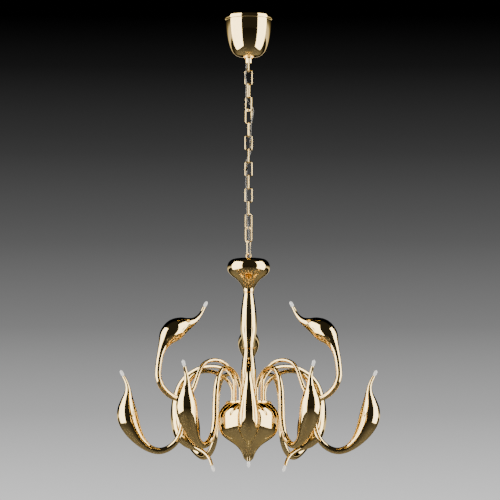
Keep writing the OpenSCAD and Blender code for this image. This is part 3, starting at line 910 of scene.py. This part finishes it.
class CHANDELIER_OT_bulbs(bpy.types.Operator):
    """Turns the frosted capsule bulbs with their pins"""

    bl_idname = "chandelier.bulbs"
    bl_label = "Bulbs"

    def execute(self, context):
        for index, name in enumerate(BULBS):
            kind = ARMS[index].split("_")[0]
            pull = Vector(JOINTS[name + "_pull"]["axis"])
            end, _ = arm_path(kind)[-1]
            beak = turned_to(index) @ end
            side = turned_to(index) @ Vector((0, 1, 0))
            turn = Matrix((side.cross(pull), side, pull)).transposed().to_4x4()
            bm = bmesh.new()
            self.capsule(bm)
            glass_faces = len(bm.faces)
            for x in (-PIN_SIDE, PIN_SIDE):
                bmesh.ops.create_cone(
                    bm, cap_ends=True, segments=12, radius1=PIN_RADIUS * MM,
                    radius2=PIN_RADIUS * MM, depth=PIN_LENGTH * MM,
                    matrix=Matrix.Translation((x * MM, 0, -5 * MM)),
                )
            bm.faces.ensure_lookup_table()
            for face in bm.faces[glass_faces:]:
                face.material_index = 1
            bmesh.ops.transform(bm, matrix=Matrix.Translation(beak) @ turn, verts=bm.verts[:])
            piece = finished(bm, name + "_capsule", frosted_glass(), zinc())
            stands_for(piece, name, "frosted_glass", name)
        return {"FINISHED"}

    def capsule(self, bm):
        r, length = BULB_RADIUS, BULB_LENGTH
        outline = [(0, -0.7), (2.5, -0.7), (2.9, 1), (3.2, 2.2), (4.1, 3.6), (r, 5.4)]
        outline += [(r, 5.4 + step * (length - 13.4) / 6) for step in range(1, 7)]
        for step in range(1, 17):
            a = math.radians(5 * step)
            outline.append((1.2 + (r - 1.2) * math.cos(a), length - 8 + 6.4 * math.sin(a)))
        outline += [(1.2, length - 1.6), (0.95, length - 0.7), (0.5, length - 0.15), (0, length)]
        spun(bm, [(x * MM, z * MM) for x, z in outline], False, steps=40)


# ---------------------------------------------------------------- carried-over pieces


class CHANDELIER_OT_finishes(bpy.types.Operator):
    """Gives the carried-over pieces their finishes"""

    bl_idname = "chandelier.finishes"
    bl_label = "Finishes"

    def execute(self, context):
        finish_of = {
            "ceiling_strap": strap_steel, "hanger": gold, "hanger_nuts": zinc,
            "terminal_block": terminal_plastic, "canopy_ring": gold, "arm_plate": gold,
            "centre_rod": zinc, "rod_nuts": zinc, "arm_nuts": zinc, "lamp_sockets": ceramic,
            "transformer": potting, "arm_wiring": silicone,
        }
        for name, node in frame["nodes"].items():
            if node.hide_render:
                continue
            node.data.materials.clear()
            node.data.materials.append(finish_of[name]())
        return {"FINISHED"}


# ---------------------------------------------------------------- stage


class CHANDELIER_OT_stage(bpy.types.Operator):
    """Sets the floor, the studio light and the camera"""

    bl_idname = "chandelier.stage"
    bl_label = "Stage"

    def execute(self, context):
        self.floor()
        self.world()
        self.lights()
        self.camera()
        return {"FINISHED"}

    def floor(self):
        bm = bmesh.new()
        bmesh.ops.create_circle(bm, cap_ends=True, segments=96, radius=30)
        bmesh.ops.translate(bm, vec=(0, 0, -sizes().floor_drop), verts=bm.verts[:])
        finished(bm, "studio_floor", studio_floor())

    def world(self):
        """Studio air: pale low down behind the lamp, dark overhead and behind the camera."""
        world = bpy.data.worlds.new("studio")
        bpy.context.scene.world = world
        finish = Finish(world)
        direction = finish.node("ShaderNodeTexCoord").out("Generated")
        parts = finish.node("ShaderNodeSeparateXYZ", {}, {"Vector": direction})
        height = parts.out("Z").ramp(
            (0.0, 1.10), (0.062, 0.86), (0.082, 0.46), (0.102, 0.215), (0.122, 0.105),
            (0.142, 0.042), (0.160, 0.010), (0.172, 0.0), (1.0, 0.0),
        )
        behind = (parts.out("Y") * 0.5 + 0.5).ramp((0.45, 0.0), (0.62, 1.0))
        light = finish.node("ShaderNodeMath", {"operation": "MULTIPLY"}, {0: height, 1: behind})
        gloom = (1 - behind) * 0.022
        background = finish.node(
            "ShaderNodeBackground", {}, {"Color": (1, 1, 1, 1), "Strength": light.out(0) + gloom}
        )
        finish.node("ShaderNodeOutputWorld", {}, {"Surface": background.out("Background")})

    def lights(self):
        """Two tall softboxes at the sides, and a soft light from behind for the floor."""
        for name, turn, distance, height, size, power, glossy in (
            ("left_softbox", -69, 2.6, 0.0, (3.4, 4.3), 260, True),
            ("right_softbox", 75, 2.6, 0.0, (2.7, 4.3), 205, True),
            ("fill", 180, 4.0, 1.5, (3.0, 3.0), 110, False),
        ):
            a = math.radians(turn)
            place = Vector((distance * math.sin(a), -distance * math.cos(a), height))
            aim = Vector((0, 0, height if glossy else -1))
            light = bpy.data.lights.new(name, "AREA")
            light.shape = "RECTANGLE"
            light.size, light.size_y = size
            light.energy = power
            lamp = bpy.data.objects.new(name, light)
            lamp.matrix_world = Matrix.Translation(place) @ (
                (aim - place).to_track_quat("-Z", "Y").to_matrix().to_4x4()
            )
            lamp.visible_camera = False
            lamp.visible_glossy = glossy
            lamp.visible_diffuse = not glossy
            bpy.context.scene.collection.objects.link(lamp)

    def camera(self):
        """A long lens from low down, looking up at the lamp."""
        camera = bpy.data.cameras.new("camera")
        camera.sensor_width, camera.lens = 36.0, 317.0
        camera.clip_end = 100
        up = math.radians(6.83)
        target = Vector((0.004, 0, -0.6725))
        distance = 12.5
        place = target - distance * Vector((0, math.cos(up), math.sin(up)))
        eye = bpy.data.objects.new("camera", camera)
        eye.matrix_world = Matrix.Translation(place) @ Matrix.Rotation(math.pi / 2 + up, 4, "X")
        bpy.context.scene.collection.objects.link(eye)
        bpy.context.scene.camera = eye


# ---------------------------------------------------------------- add-on


STEPS = (
    CHANDELIER_OT_stage, CHANDELIER_OT_canopy, CHANDELIER_OT_chain, CHANDELIER_OT_cable,
    CHANDELIER_OT_column, CHANDELIER_OT_bowl, CHANDELIER_OT_arms, CHANDELIER_OT_bulbs,
    CHANDELIER_OT_finishes,
)


class CHANDELIER_PT_panel(bpy.types.Panel):
    """Lists the steps that build the chandelier"""

    bl_label = "Chandelier"
    bl_idname = "CHANDELIER_PT_panel"
    bl_space_type = "VIEW_3D"
    bl_region_type = "UI"
    bl_category = "Chandelier"

    def draw(self, context):
        for group in (context.scene.chandelier_sizes, context.scene.chandelier_colours):
            for key in group.__annotations__:
                self.layout.prop(group, key)
        for step in STEPS:
            self.layout.operator(step.bl_idname)


CLASSES = (ChandelierSizes, ChandelierColours, *STEPS, CHANDELIER_PT_panel)


def register():
    for cls in CLASSES:
        bpy.utils.register_class(cls)
    bpy.types.Scene.chandelier_sizes = PointerProperty(type=ChandelierSizes)
    bpy.types.Scene.chandelier_colours = PointerProperty(type=ChandelierColours)


def unregister():
    del bpy.types.Scene.chandelier_colours
    del bpy.types.Scene.chandelier_sizes
    for cls in reversed(CLASSES):
        bpy.utils.unregister_class(cls)


def main():
    register()
    for step in STEPS:
        group, name = step.bl_idname.split(".")
        getattr(getattr(bpy.ops, group), name)()


if __name__ == "__main__":
    main()
